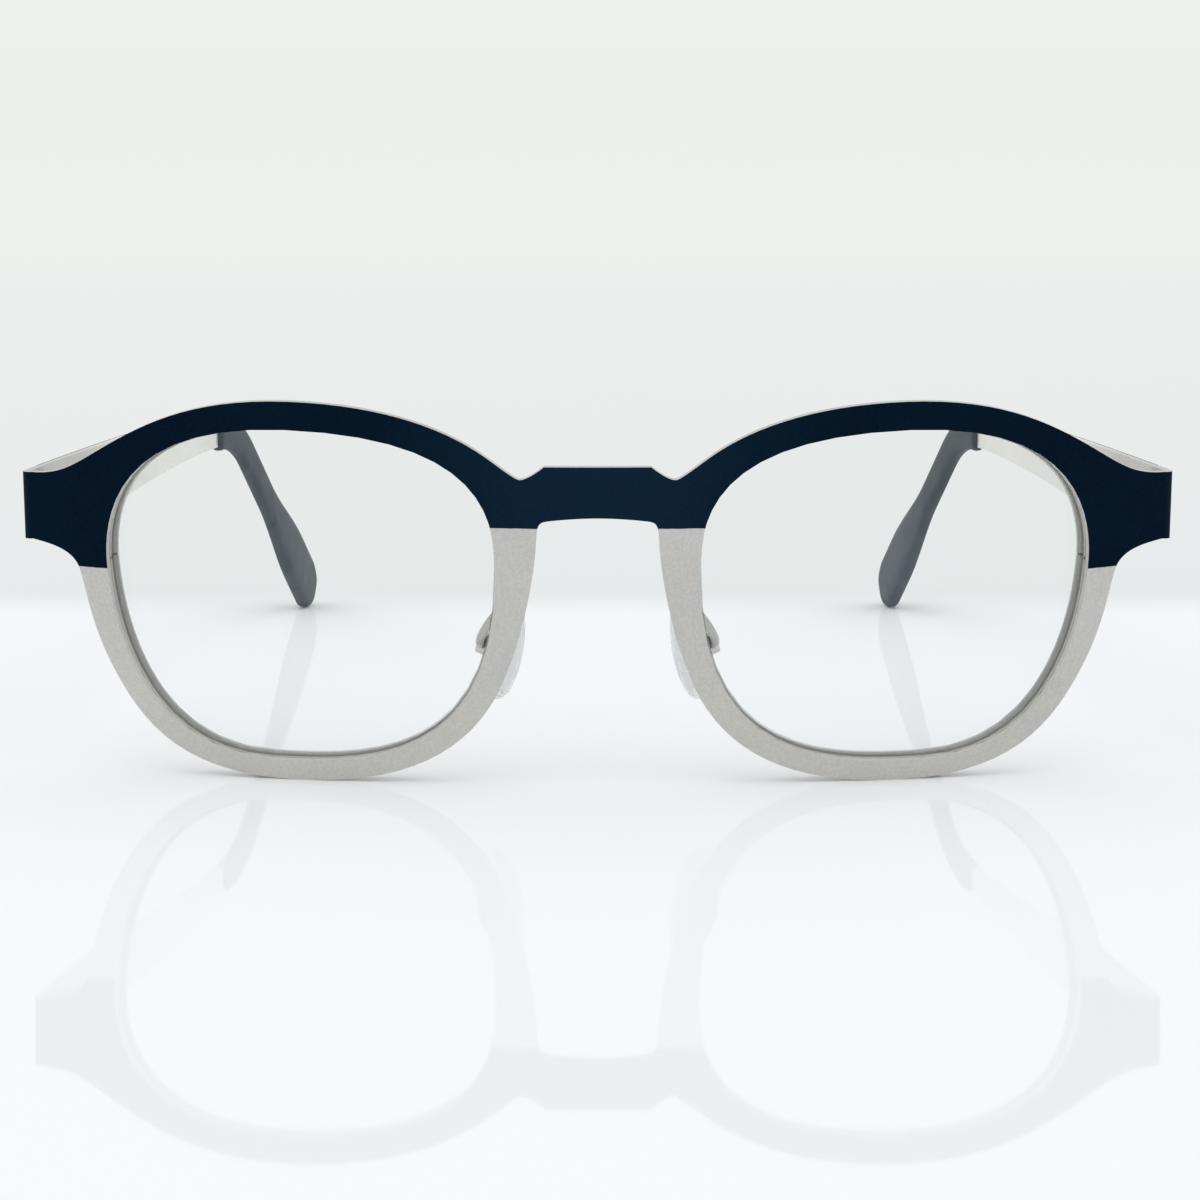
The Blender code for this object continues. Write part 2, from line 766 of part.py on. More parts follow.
def nose_pad():
    """Soft pad with a drop outline and a crowned face, moulded round a tongue for the box."""
    build = bmesh.new()
    bmesh.ops.create_uvsphere(build, u_segments=24, v_segments=12, radius=0.5)
    for vert in build.verts:
        drop = 1 - 0.22 * (vert.co.z + 0.1)
        flat = 0.55 if vert.co.y > 0 else 1.0
        vert.co.x *= drop
        vert.co.y *= flat
    size = Matrix.Diagonal((PAD_WIDTH, PAD_THICK, PAD_LENGTH, 1))
    bmesh.ops.transform(build, matrix=at_pad(0, PAD_FACE - 0.2 * PAD_THICK, 0) @ size, verts=build.verts)
    face_out(build)
    made = add("nose_pad_right", mesh_from(build, "nose_pad_right"), SILICONE)
    depth = BOX_DEPTH + 0.6 * MM
    tongue = box_mesh((TONGUE, depth, 0.62 * BOX_HEIGHT), at_pad(0, PAD_FACE + depth / 2 - 0.3 * MM, 0))
    combine(made, helper(upright(tongue)), "UNION")
    bore = upright(rod_mesh(PAD_SCREW + 2 * RUN, 3 * TONGUE, at_pad(0, 0, 0) @ ACROSS, 12))
    combine(made, helper(bore), "DIFFERENCE")
    smooth(made)
    return made


def pad_box():
    """Small open box on the arm: two cheeks that hold the tongue on its screw."""
    base = 0.5 * MM
    made = add("pad_box_right", upright(box_mesh((BOX_WIDTH, BOX_DEPTH + base, BOX_HEIGHT), at_pad(0, base / 2, 0))), NICKEL)
    room = BOX_DEPTH + 0.4 * MM
    slot = box_mesh((TONGUE + 2 * SEAT, room, 2 * BOX_HEIGHT), at_pad(0, BOX_DEPTH / 2 + 0.25 * MM - room / 2, 0))
    combine(made, helper(upright(slot)), "DIFFERENCE")
    bore = upright(rod_mesh(PAD_SCREW + 2 * RUN, 3 * BOX_WIDTH, at_pad(0, 0, 0) @ ACROSS, 12))
    combine(made, helper(bore), "DIFFERENCE")
    return made


def pad_screw():
    length = BOX_WIDTH + 2 * SEAT
    made = add("pad_screw_right", upright(rod_mesh(PAD_SCREW, length, at_pad(0, 0, 0) @ ACROSS, 12)), BRIGHT)
    out = length / 2 + PAD_HEAD_HIGH / 2 - 0.05 * MM
    head = upright(rod_mesh(PAD_HEAD, PAD_HEAD_HIGH, at_pad(out, 0, 0) @ ACROSS, 16))
    combine(made, helper(head), "UNION")
    return made


def pad_arm():
    """Bent wire from the back of the rim's nose side to the pad's box."""
    foot_s = nose_edge - WIRE_WIDTH - ARM_WIRE / 2 - 2 * SEAT
    foot_h = bridge_low - PAD_DROP + 4.0 * MM
    foot = on_front(foot_s, SHEET + SEAT, foot_h)
    back = front_frame(foot_s, 0, foot_h).to_3x3() @ Vector((0, 1, 0))
    outer = at_pad(0, BOX_DEPTH / 2 + 0.5 * MM + SEAT, 0)
    tip = outer.translation
    away = outer.to_3x3() @ Vector((0, 1, 0))
    crook = front_frame(nose_edge - 1.1 * MM, wire_front + WIRE_DEPTH + 1.7 * MM, foot_h + 1.5 * MM)
    bow = crook.translation
    way = crook.to_3x3() @ Vector((0.94, 0.34, 0)) * 1.3 * MM
    knots = [
        (foot, foot - back * MM, foot + back * 3.4 * MM),
        (bow, bow - way, bow + way),
        (tip, tip + away * 1.2 * MM, tip - away * MM),
    ]
    mesh = curve_mesh("pad_arm_right", [knots], bevel=ARM_WIRE / 2, bevel_rows=2, flat=False, rows=8)
    made = add("pad_arm_right", mesh, STEEL)
    smooth(made, 60)
    return made


def centre():
    """Moves every piece so that the origin is under the middle of the whole, on the floor; returns the move."""
    corners = [vert.co for item in PARTS.objects for vert in item.data.vertices]
    middle = (min(c.y for c in corners) + max(c.y for c in corners)) / 2
    move = Vector((0, -middle, -min(c.z for c in corners)))
    for item in PARTS.objects:
        item.data.transform(Matrix.Translation(move))
    return move


def hold(name, place, items):
    """An empty on a joint's axis that carries the pieces that turn about it."""
    empty = bpy.data.objects.new(name, None)
    empty.empty_display_size = 5 * MM
    empty.location = place
    PARTS.objects.link(empty)
    bpy.context.view_layer.update()
    for item in items:
        item.parent = empty
        item.matrix_parent_inverse = empty.matrix_world.inverted()


def main():
    front_plate()
    front_leaf, temple_leaf, screw = hinge()
    swinging = [temple_leaf, temple(), temple_tip()]
    rocking = [nose_pad()]
    fixed = [eyewire(), lens(), *rim_lock(), pad_arm(), pad_box(), pad_screw(), front_leaf, screw]
    left = {item: left_of(item, item.name.replace("right", "left")) for item in fixed + swinging + rocking}
    move = centre()
    hinge_at = at_temple(0, AXIS_IN, 0).translation + move
    pad_at = at_pad(0, 0, 0).translation + move
    for label, place, items in (("hinge_axis", hinge_at, swinging), ("pad_axis", pad_at, rocking)):
        hold(label + "_right", place, items)
        hold(label + "_left", Vector((-place.x, place.y, place.z)), [left[item] for item in items])
    along = at_pad(0, 0, 0).to_3x3() @ Vector((1, 0, 0))
    flat = at_temple(TEMPLE_TO_TIP / 3, 0, 0).translation + move
    for label, value in (("move", move), ("hinge", hinge_at), ("pad", pad_at), ("face", flat)):
        print(label, [round(1000 * v, 3) for v in value])
    print("pad axis", [round(v, 5) for v in along], "tip drop", round(TIP_DROP * 180 / pi, 2))


main()
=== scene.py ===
import json
from math import atan2, copysign, cos, pi, radians, sin
import bmesh
import bpy
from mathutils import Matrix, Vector


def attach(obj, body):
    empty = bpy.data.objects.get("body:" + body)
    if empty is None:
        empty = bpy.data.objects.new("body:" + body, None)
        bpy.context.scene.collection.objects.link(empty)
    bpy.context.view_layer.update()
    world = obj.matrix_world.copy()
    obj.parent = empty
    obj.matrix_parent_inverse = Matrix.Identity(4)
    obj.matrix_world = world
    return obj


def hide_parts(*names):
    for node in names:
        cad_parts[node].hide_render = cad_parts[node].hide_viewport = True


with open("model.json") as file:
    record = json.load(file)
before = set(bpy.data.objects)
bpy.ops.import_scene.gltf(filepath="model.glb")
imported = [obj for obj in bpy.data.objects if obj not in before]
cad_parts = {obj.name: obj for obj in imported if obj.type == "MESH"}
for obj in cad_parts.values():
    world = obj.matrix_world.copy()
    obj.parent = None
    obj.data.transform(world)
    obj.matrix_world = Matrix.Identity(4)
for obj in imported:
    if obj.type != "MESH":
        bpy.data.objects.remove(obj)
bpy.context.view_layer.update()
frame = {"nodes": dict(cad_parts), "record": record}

mm = 0.001
sides = {"left": -1, "right": 1}  # and the sign of x there
nodes = frame["nodes"]
scene = bpy.context.scene
scene.view_settings.view_transform = "Standard"
print("frame loaded:", len(nodes), "nodes")

# the bowed, leaning front: s along the sheet, h up it, d back from its front face
front = {"bow": 203 * mm, "lean": radians(6.65), "middle": -68.94 * mm, "lift": -0.36 * mm}


def onFront(s, d, h):
    angle = s / front["bow"]
    x = (front["bow"] - d) * sin(angle)
    y = front["bow"] - (front["bow"] - d) * cos(angle)
    c, n = cos(front["lean"]), sin(front["lean"])
    return Vector((x, y * c - h * n + front["middle"], y * n + h * c + front["lift"]))


class Val:
    # a number socket that adds Math nodes when it is used in an expression
    def __init__(self, finish, socket):
        self.finish = finish
        self.socket = socket

    def math(self, operation, a, b=0.0, clamp=False):
        settings = {"operation": operation, "use_clamp": clamp}
        return self.finish.node("ShaderNodeMath", settings, [a, b])["Value"]

    def __add__(self, other):
        return self.math("ADD", self, other)

    def __radd__(self, other):
        return self.math("ADD", other, self)

    def __sub__(self, other):
        return self.math("SUBTRACT", self, other)

    def __rsub__(self, other):
        return self.math("SUBTRACT", other, self)

    def __mul__(self, other):
        return self.math("MULTIPLY", self, other)

    def __rmul__(self, other):
        return self.math("MULTIPLY", other, self)

    def __truediv__(self, other):
        return self.math("DIVIDE", self, other)

    def __gt__(self, other):
        return self.math("GREATER_THAN", self, other)

    def __abs__(self):
        return self.math("ABSOLUTE", self)

    def sine(self):
        return self.math("SINE", self)

    def cosine(self):
        return self.math("COSINE", self)

    def clamp(self):
        return self.math("ADD", self, 0.0, True)


class Finish:
    # one material and the nodes in it
    def __init__(self, name):
        self.material = bpy.data.materials.new(name)
        self.material.use_nodes = True
        self.tree = self.material.node_tree
        self.tree.nodes.clear()

    def node(self, kind, settings=None, sockets=None):
        made = self.tree.nodes.new(kind)
        for key, value in (settings or {}).items():
            setattr(made, key, value)
        if isinstance(sockets, list):
            pairs = list(zip(made.inputs, sockets))
        else:
            pairs = [(self.find(made.inputs, key), value) for key, value in (sockets or {}).items()]
        for socket, value in pairs:
            if isinstance(value, Val):
                self.tree.links.new(value.socket, socket)
            else:
                socket.default_value = value
        return {out.name: Val(self, out) for out in made.outputs if out.enabled}

    def find(self, sockets, name):
        return next(socket for socket in sockets if socket.name == name and socket.enabled)

    def place(self):
        return self.node("ShaderNodeTexCoord")["Object"]

    def split(self, vector):
        return self.node("ShaderNodeSeparateXYZ", None, {"Vector": vector})

    def turn(self):
        return self.split(self.node("ShaderNodeNewGeometry")["True Normal"])

    def noise(self, scale, detail=2.0, rough=0.5):
        values = {"Vector": self.place(), "Scale": scale, "Detail": detail, "Roughness": rough}
        return self.node("ShaderNodeTexNoise", None, values)["Fac"]

    def mix(self, mask, a, b):
        values = {"Factor": mask, "A": a, "B": b}
        return self.node("ShaderNodeMix", {"data_type": "RGBA"}, values)["Result"]

    def bump(self, height, depth, strength=1.0):
        values = {"Height": height, "Distance": depth, "Strength": strength}
        return self.node("ShaderNodeBump", None, values)["Normal"]

    def shader(self, values):
        return self.node("ShaderNodeBsdfPrincipled", None, values)["BSDF"]

    def done(self, shader):
        self.node("ShaderNodeOutputMaterial", None, {"Surface": shader})
        return self.material


def tone(red, green, blue):
    return (red, green, blue, 1.0)


steel = {
    "pale": tone(0.66, 0.648, 0.615), "dark": tone(0.46, 0.452, 0.43),
    "near": 1.04, "far": 1.5, "fadeFrom": -42 * mm, "fadeTo": -18 * mm,
    "grain": 3000, "speckle": 1.3, "cloud": 90, "mottle": 0.5, "base": 0.3,
    "rough": 0.46, "roughVaries": 0.12, "depth": 0.006 * mm, "relief": 0.35,
}


def lifted(colour, by):
    return tone(*(min(part * by, 1.0) for part in colour[:3]))


def steelColour(finish, fade=None):
    grain = finish.noise(steel["grain"], 3.0, 0.7)
    cloud = finish.noise(steel["cloud"])
    mask = (steel["base"] + steel["speckle"] * (grain - 0.5) + steel["mottle"] * cloud).clamp()
    shades = [steel["dark"], steel["pale"]]
    if fade is not None:
        near, far = steel["near"], steel["far"]
        shades = [finish.mix(fade, lifted(shade, near), lifted(shade, far)) for shade in shades]
    return grain, cloud, finish.mix(mask, *shades)


def steelRough(cloud):
    return steel["rough"] + steel["roughVaries"] * (cloud - 0.5)


def blastedSteel():
    finish = Finish("blastedSteel")
    grain, cloud, colour = steelColour(finish)
    values = {
        "Base Color": colour, "Metallic": 1.0, "Roughness": steelRough(cloud),
        "Normal": finish.bump(grain, steel["depth"], steel["relief"]),
    }
    return finish.done(finish.shader(values))


lacquer = {
    # the pale lacquer tone serves both the random mottle and the painted sheen at the bridge
    "deep": tone(0.0000, 0.0042, 0.0128), "paleAndSheen": tone(0.0070, 0.0250, 0.0500),
    "noseLine": 31.6 * mm, "sideLine": 24.6 * mm, "sideStarts": 36 * mm, "endAt": 68 * mm,
    "outward": 0.42, "wrap": 0.15 * mm, "edge": 0.05 * mm, "waver": 0.14 * mm, "waverScale": 700,
    "bridgeSheen": 26 * mm, "sheenLift": 0.5, "speckle": 0.5, "mottle": 0.30, "gloss": 0.02,
    "grain": 2800, "rough": 0.50, "roughVaries": 0.10, "film": 0.6, "depth": 0.004 * mm, "relief": 0.35,
}


def sheetMask(finish, at):
    # outer faces of the front above the masking lines
    turn = finish.turn()
    outward = turn["X"] * at["X"] * (1 / lacquer["endAt"]) - turn["Y"]
    c, n = cos(front["lean"]), sin(front["lean"])
    height = (at["Z"] - front["lift"]) * c - (at["Y"] - front["middle"]) * n
    side = abs(at["X"]) > lacquer["sideStarts"]
    line = lacquer["noseLine"] + side * (lacquer["sideLine"] - lacquer["noseLine"])
    waver = (finish.noise(lacquer["waverScale"]) - 0.5) * lacquer["waver"]
    above = ((height + waver - line) / lacquer["edge"]).clamp()
    return (outward > lacquer["outward"]) * above


def templeMask(finish, at, face):
    # the outer face of a temple, and a little way round its edges
    way, point = Vector(face["axis"]), Vector(face["pos_m"])
    out = at["X"] * way.x + at["Y"] * way.y - way.dot(point)
    return out > -lacquer["wrap"]


def paintedSteel(name, face=None):
    # lacquer over blasted steel
    finish = Finish(name)
    at = finish.split(finish.place())
    fade = None
    if face:  # the inside of a temple is shaded by the front and pale farther back
        fade = ((at["Y"] - steel["fadeFrom"]) / (steel["fadeTo"] - steel["fadeFrom"])).clamp()
    grain, cloud, bare = steelColour(finish, fade)
    masked = templeMask(finish, at, face) if face else sheetMask(finish, at)
    # painted sheen: the lacquer is made paler towards the bridge, standing in for the sheen there
    bridgeSheen = 0 if face else (1 - abs(at["X"]) / lacquer["bridgeSheen"]).clamp()  # paler at the bridge
    wash = lacquer["mottle"] * cloud + lacquer["speckle"] * (grain - 0.5)
    wash = (wash + lacquer["sheenLift"] * bridgeSheen).clamp()
    paint = finish.mix(wash, lacquer["deep"], lacquer["paleAndSheen"])
    film = finish.noise(lacquer["grain"], 3.0, 0.65)
    rough = lacquer["rough"] + lacquer["roughVaries"] * (film - 0.5)
    relief = grain * (1 - masked) + masked * (film + lacquer["film"])
    values = {
        "Base Color": finish.mix(masked, bare, paint),
        "Metallic": 1 - masked,
        "Roughness": steelRough(cloud) * (1 - masked) + rough * masked,
        "Normal": finish.bump(relief, lacquer["depth"], lacquer["relief"]),
        "Specular IOR Level": lacquer["gloss"],
    }
    return finish.done(finish.shader(values))


nickel = {
    "pale": tone(0.66, 0.64, 0.60), "dark": tone(0.48, 0.46, 0.43), "stain": 420, "base": 0.25,
    "mottle": 0.6, "brush": 2600, "stretch": (1.0, 1.0, 0.08), "rough": 0.30, "roughVaries": 0.2,
    "depth": 0.003 * mm, "relief": 0.4,
}


def satinNickel():
    finish = Finish("satinNickel")
    along = {"Vector": finish.place(), "Scale": nickel["stretch"]}
    brush = finish.node("ShaderNodeMapping", None, along)["Vector"]
    lines = finish.node(
        "ShaderNodeTexNoise", None, {"Vector": brush, "Scale": nickel["brush"], "Detail": 3.0},
    )["Fac"]
    stain = finish.noise(nickel["stain"], 3.0)
    mask = (nickel["base"] + nickel["mottle"] * stain).clamp()
    values = {
        "Base Color": finish.mix(mask, nickel["dark"], nickel["pale"]),
        "Metallic": 1.0, "Roughness": nickel["rough"] + nickel["roughVaries"] * (lines - 0.5),
        "Normal": finish.bump(lines, nickel["depth"], nickel["relief"]),
    }
    return finish.done(finish.shader(values))


screws = {
    "pale": tone(0.60, 0.60, 0.59), "dark": tone(0.30, 0.30, 0.30), "dirt": 1500, "base": 0.3,
    "mottle": 0.9, "turning": 9000, "rough": 0.22, "roughVaries": 0.15, "depth": 0.002 * mm, "relief": 0.3,
}


def turnedSteel():
    finish = Finish("turnedSteel")
    rings = finish.noise(screws["turning"], 1.0)
    dirt = finish.noise(screws["dirt"], 3.0)
    mask = (screws["base"] + screws["mottle"] * dirt).clamp()
    values = {
        "Base Color": finish.mix(mask, screws["dark"], screws["pale"]),
        "Metallic": 1.0, "Roughness": screws["rough"] + screws["roughVaries"] * (rings - 0.5),
        "Normal": finish.bump(rings, screws["depth"], screws["relief"]),
    }
    return finish.done(finish.shader(values))


acetate = {
    "slate": tone(0.024, 0.037, 0.050), "pale": tone(0.088, 0.108, 0.125),
    "swirl": 160, "twist": 1.6, "mottle": 1.4, "top": 34 * mm, "fade": 0.8, "gloss": 0.06,
    "coat": 0.04, "coatRough": 0.3, "grain": 3000, "rough": 0.42, "roughVaries": 0.12,
    "depth": 0.010 * mm, "relief": 0.15,
}


def slateAcetate():
    finish = Finish("slateAcetate")
    swirl = finish.node(
        "ShaderNodeTexNoise", None,
        {"Vector": finish.place(), "Scale": acetate["swirl"], "Detail": 4.0, "Distortion": acetate["twist"]},
    )["Fac"]
    grain = finish.noise(acetate["grain"])
    rise = finish.split(finish.place())["Z"] / acetate["top"]  # a little darker by the bend
    mask = (acetate["mottle"] * swirl - acetate["fade"] * rise).clamp()
    values = {
        "Base Color": finish.mix(mask, acetate["slate"], acetate["pale"]),
        "Roughness": acetate["rough"] + acetate["roughVaries"] * (grain - 0.5),
        "Normal": finish.bump(grain, acetate["depth"], acetate["relief"]),
        "Coat Weight": acetate["coat"] * swirl, "Coat Roughness": acetate["coatRough"],
        "Specular IOR Level": acetate["gloss"],
    }
    return finish.done(finish.shader(values))


glass = {
    "tint": tone(0.985, 0.992, 0.990), "ior": 1.5, "sheen": 0.45, "smear": 60, "polish": 0.01, "haze": 0.03,
    "groundEdgeShade": tone(0.27, 0.272, 0.268), "edgeFrom": 0.85, "edgeShows": 0.4,
    "edgeRough": 0.4, "edgeVaries": 0.2,
}


def clearLens():
    # a thin lens: clear straight through, with the glare that its angle gives
    finish = Finish("clearLens")
    smear = finish.noise(glass["smear"], 3.0)
    polish = glass["polish"] + glass["haze"] * smear
    coated = finish.shader({"Base Color": glass["tint"], "Metallic": 1.0, "Roughness": polish})
    through = finish.node("ShaderNodeBsdfTransparent", None, {"Color": glass["tint"]})["BSDF"]
    glare = finish.node("ShaderNodeFresnel", None, {"IOR": glass["ior"]})["Fac"] * glass["sheen"]
    clear = finish.node("ShaderNodeMixShader", None, [glare, through, coated])["Shader"]
    rough = glass["edgeRough"] + glass["edgeVaries"] * smear
    # painted shade: the ground, matt lens edge is coloured dark grey, standing in for the dark line that
    # shade and inner reflection give along the groove
    groundEdgeShade = finish.shader({"Base Color": glass["groundEdgeShade"], "Roughness": rough})
    turn = finish.turn()
    bend = finish.split(finish.place())["X"] / front["bow"]
    square = turn["Y"] * cos(front["lean"]) + turn["Z"] * sin(front["lean"])
    facing = abs(square * bend.cosine() - turn["X"] * bend.sine())
    edge = glass["edgeShows"] * (1 - (facing > glass["edgeFrom"]))
    return finish.done(finish.node("ShaderNodeMixShader", None, [edge, clear, groundEdgeShade])["Shader"])


silicone = {
    "clear": tone(0.95, 0.96, 0.96), "cloudy": tone(0.86, 0.88, 0.885), "haze": 500, "open": 0.4,
    "shadowOpen": 0.8, "through": 0.85, "ior": 1.41, "rough": 0.22, "roughVaries": 0.15,
    "depth": 0.02 * mm, "relief": 0.2,
}


def clearSilicone():
    finish = Finish("clearSilicone")
    haze = finish.noise(silicone["haze"], 3.0)
    values = {
        "Base Color": finish.mix(haze, silicone["cloudy"], silicone["clear"]),
        "Roughness": silicone["rough"] + silicone["roughVaries"] * haze,
        "Transmission Weight": silicone["through"], "IOR": silicone["ior"],
        "Normal": finish.bump(haze, silicone["depth"], silicone["relief"]),
    }
    jelly = finish.shader(values)
    through = finish.node("ShaderNodeBsdfTransparent", None, {"Color": silicone["clear"]})["BSDF"]
    shadow = finish.node("ShaderNodeLightPath")["Is Shadow Ray"]
    share = silicone["open"] + shadow * (silicone["shadowOpen"] - silicone["open"])
    return finish.done(finish.node("ShaderNodeMixShader", None, [share, jelly, through])["Shader"])


faces = {mount["name"]: mount for mount in frame["record"]["mounts"]}
bareSteel = blastedSteel()
finishes = {
    "front_plate": paintedSteel("twoToneFront"),
    "temple_right": paintedSteel("templePaintRight", faces["temple_face_right"]),
    "temple_left": paintedSteel("templePaintLeft", faces["temple_face_left"]),
}
lens = clearLens()
nickelFinish = satinNickel()
screwFinish = turnedSteel()
tipFinish = slateAcetate()
for side in sides:
    finishes.update({f"eyewire_{side}": bareSteel, f"pad_arm_{side}": bareSteel, f"lens_{side}": lens})
    finishes[f"temple_tip_{side}"] = tipFinish
    for piece in ("rim_lock_upper", "rim_lock_lower", "pad_box", "hinge_front_leaf", "hinge_temple_leaf"):
        finishes[f"{piece}_{side}"] = nickelFinish
    for piece in ("rim_lock_screw", "pad_screw", "hinge_screw"):
        finishes[f"{piece}_{side}"] = screwFinish
for name, material in finishes.items():
    nodes[name].data.materials.clear()
    nodes[name].data.materials.append(material)
print("finishes set:", len(finishes))


def asPiece(name, mesh, material, body):
    mesh.materials.clear()
    mesh.materials.append(material)
    piece = bpy.data.objects.new(name, mesh)
    scene.collection.objects.link(piece)
    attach(piece, body)
    return piece


pad = {
    "merge": 0.01 * mm, "levels": 2, "flat": radians(40), "even": radians(60), "sharp": radians(55),
    "crease": 0.9,
}


def softPad(side, material):
    # the CAD pad's own form, welded and rounded off
    source = nodes[f"nose_pad_{side}"]
    shell = bmesh.new()
    shell.from_mesh(source.data)
    bmesh.ops.remove_doubles(shell, verts=shell.verts, dist=pad["merge"])
    bmesh.ops.join_triangles(
        shell, faces=shell.faces, angle_face_threshold=pad["flat"], angle_shape_threshold=pad["even"],
    )
    crease = shell.edges.layers.float.new("crease_edge")
    for edge in shell.edges:
        if len(edge.link_faces) == 2 and edge.calc_face_angle() > pad["sharp"]:
            edge[crease] = pad["crease"]
    mesh = bpy.data.meshes.new(f"silicone_pad_{side}")
    shell.to_mesh(mesh)
    shell.free()
    mesh.shade_smooth()
    holder = bpy.data.objects.new("rounding", mesh)
    scene.collection.objects.link(holder)
    soft = holder.modifiers.new("soft", "SUBSURF")
    soft.levels = soft.render_levels = pad["levels"]
    bpy.context.view_layer.update()
    graph = bpy.context.evaluated_depsgraph_get()
    final = bpy.data.meshes.new_from_object(holder.evaluated_get(graph))
    bpy.data.objects.remove(holder, do_unlink=True)
    piece = asPiece(f"silicone_pad_{side}", final, material, f"pad_{side}")
    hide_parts(f"nose_pad_{side}")


padFinish = clearSilicone()
for side in sides:
    softPad(side, padFinish)
print("silicone pads made")

tip = {
    "start": Vector((11.31, 56.96, 31.94)) * mm, "toe": radians(10), "lead": 2.33 * mm,
    "bend": 24 * mm, "drop": radians(35.43), "length": 61.35 * mm,
    "neck": 4.6 * mm, "paddle": 8.05 * mm, "thin": 1.95 * mm, "thick": 2.55 * mm,
    "growFrom": 30 * mm, "growTo": 50 * mm, "square": 3.2, "blunt": 2.2,
    "lip": 0.5 * mm, "lipIn": 0.2, "least": 0.08,
    "spokes": 28, "rings": 64, "crowd": 1.6,
}


def tipLine(along):
    # place on the bent centre line, along the temple and up, and the line's downward turn
    turn = min(max(along - tip["lead"], 0) / tip["bend"], tip["drop"])
    past = max(along - tip["lead"] - tip["bend"] * tip["drop"], 0)
    level = min(along, tip["lead"]) + tip["bend"] * sin(turn) + past * cos(turn)
    return level, -tip["bend"] * (1 - cos(turn)) - past * sin(turn), turn


def tipHalf(along):
    # half width and half thickness, drawn in at both ends
    grown = min(max((along - tip["growFrom"]) / (tip["growTo"] - tip["growFrom"]), 0), 1)
    grown = grown * grown * (3 - 2 * grown)
    wide = (tip["neck"] + (tip["paddle"] - tip["neck"]) * grown) / 2
    thick = (tip["thin"] + (tip["thick"] - tip["thin"]) * grown) / 2
    left = tip["length"] - along
    sizes = []
    for half in (wide, thick):
        near = min(max(1 - left / half, 0), 1)
        rounding = max((1 - near ** tip["blunt"]) ** (1 / tip["blunt"]), tip["least"])
        lip = max(1 - along / tip["lip"], 0)
        sizes.append(half * rounding * (1 - tip["lipIn"] * lip * lip))
    return sizes


def rounded(value):
    return copysign(abs(value) ** (2 / tip["square"]), value)


def mouldedTip(side, material):
    # a tube drawn along the temple's end, slim at the bend and wide at its foot
    sign = sides[side]
    ahead = Vector((-sin(tip["toe"]), cos(tip["toe"]), 0))
    outward = Vector((cos(tip["toe"]), sin(tip["toe"]), 0))
    shell = bmesh.new()
    bmesh.ops.create_cone(
        shell, cap_ends=True, segments=tip["spokes"], radius1=1.0, radius2=1.0, depth=1.0,
    )
    walls = [edge for edge in shell.edges if abs(edge.verts[0].co.z - edge.verts[1].co.z) > 0.5]
    bmesh.ops.subdivide_edges(shell, edges=walls, cuts=tip["rings"], use_grid_fill=True)
    for vert in shell.verts:
        angle = atan2(vert.co.y, vert.co.x)
        along = tip["length"] * (1 - (0.5 - vert.co.z) ** tip["crowd"])
        level, drop, turn = tipLine(along)
        wide, thick = tipHalf(along)
        across = rounded(cos(angle)) * wide
        place = ahead * (tip["start"].x + level + across * sin(turn))
        place += outward * (tip["start"].y + rounded(sin(angle)) * thick)
        place.z = tip["start"].z + drop + across * cos(turn)
        vert.co = (sign * place.x, place.y, place.z)
    bmesh.ops.recalc_face_normals(shell, faces=shell.faces)
    mesh = bpy.data.meshes.new(f"moulded_tip_{side}")
    shell.to_mesh(mesh)
    shell.free()
    mesh.shade_smooth()
    piece = asPiece(f"moulded_tip_{side}", mesh, material, f"temple_{side}_arm")
    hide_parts(f"temple_tip_{side}")


for side in sides:
    mouldedTip(side, tipFinish)
print("moulded tips made")

braze = {
    "leg": 0.22 * mm, "sink": 0.06 * mm, "steps": 96, "sides": 8, "wireWidth": 1.5 * mm, "sheet": 0.9 * mm,
}
eye = {
    "nose": 12.0 * mm, "width": 47.3 * mm, "low": 2.4 * mm, "height": 40.3 * mm,
    "crown": 0.523, "foot": 0.58, "waist": 0.597,
    "noseRise": 0.36, "crownIn": 0.965, "crownOut": 0.925, "sideRise": 0.27, "sideFall": 0.02, "footIn": 0.42,
}


def eyePath(count, outset):
    # the lens opening, four quarters with the frame's own fullness, moved outward
    left, right = eye["nose"], eye["nose"] + eye["width"]
    low, high = eye["low"], eye["low"] + eye["height"]
    crown = left + eye["crown"] * eye["width"]
    foot = left + eye["foot"] * eye["width"]
    waist = low + eye["waist"] * eye["height"]
    up, down = high - waist, waist - low
    crownIn = crown - eye["crownIn"] * (crown - left)
    crownOut = crown + eye["crownOut"] * (right - crown)
    footIn = foot - eye["footIn"] * (foot - left)
    noseUp, sideUp = waist + eye["noseRise"] * up, waist + eye["sideRise"] * up
    quarters = [
        [(left, waist), (left, noseUp), (crownIn, high), (crown, high)],
        [(crown, high), (crownOut, high), (right, sideUp), (right, waist)],
        [(right, waist), (right, waist - eye["sideFall"] * down), (right, low), (foot, low)],
        [(foot, low), (footIn, low), (left, waist - down), (left, waist)],
    ]
    points = []
    for a, b, c, d in quarters:
        a, b, c, d = Vector(a), Vector(b), Vector(c), Vector(d)
        for i in range(count // 4):
            t = i / (count // 4)
            u = 1 - t
            point = u * u * u * a + 3 * u * u * t * b + 3 * u * t * t * c + t * t * t * d
            way = (u * u * (b - a) + 2 * u * t * (c - b) + t * t * (d - c)).normalized()
            points.append(point + Vector((-way.y, way.x)) * outset)
    return points


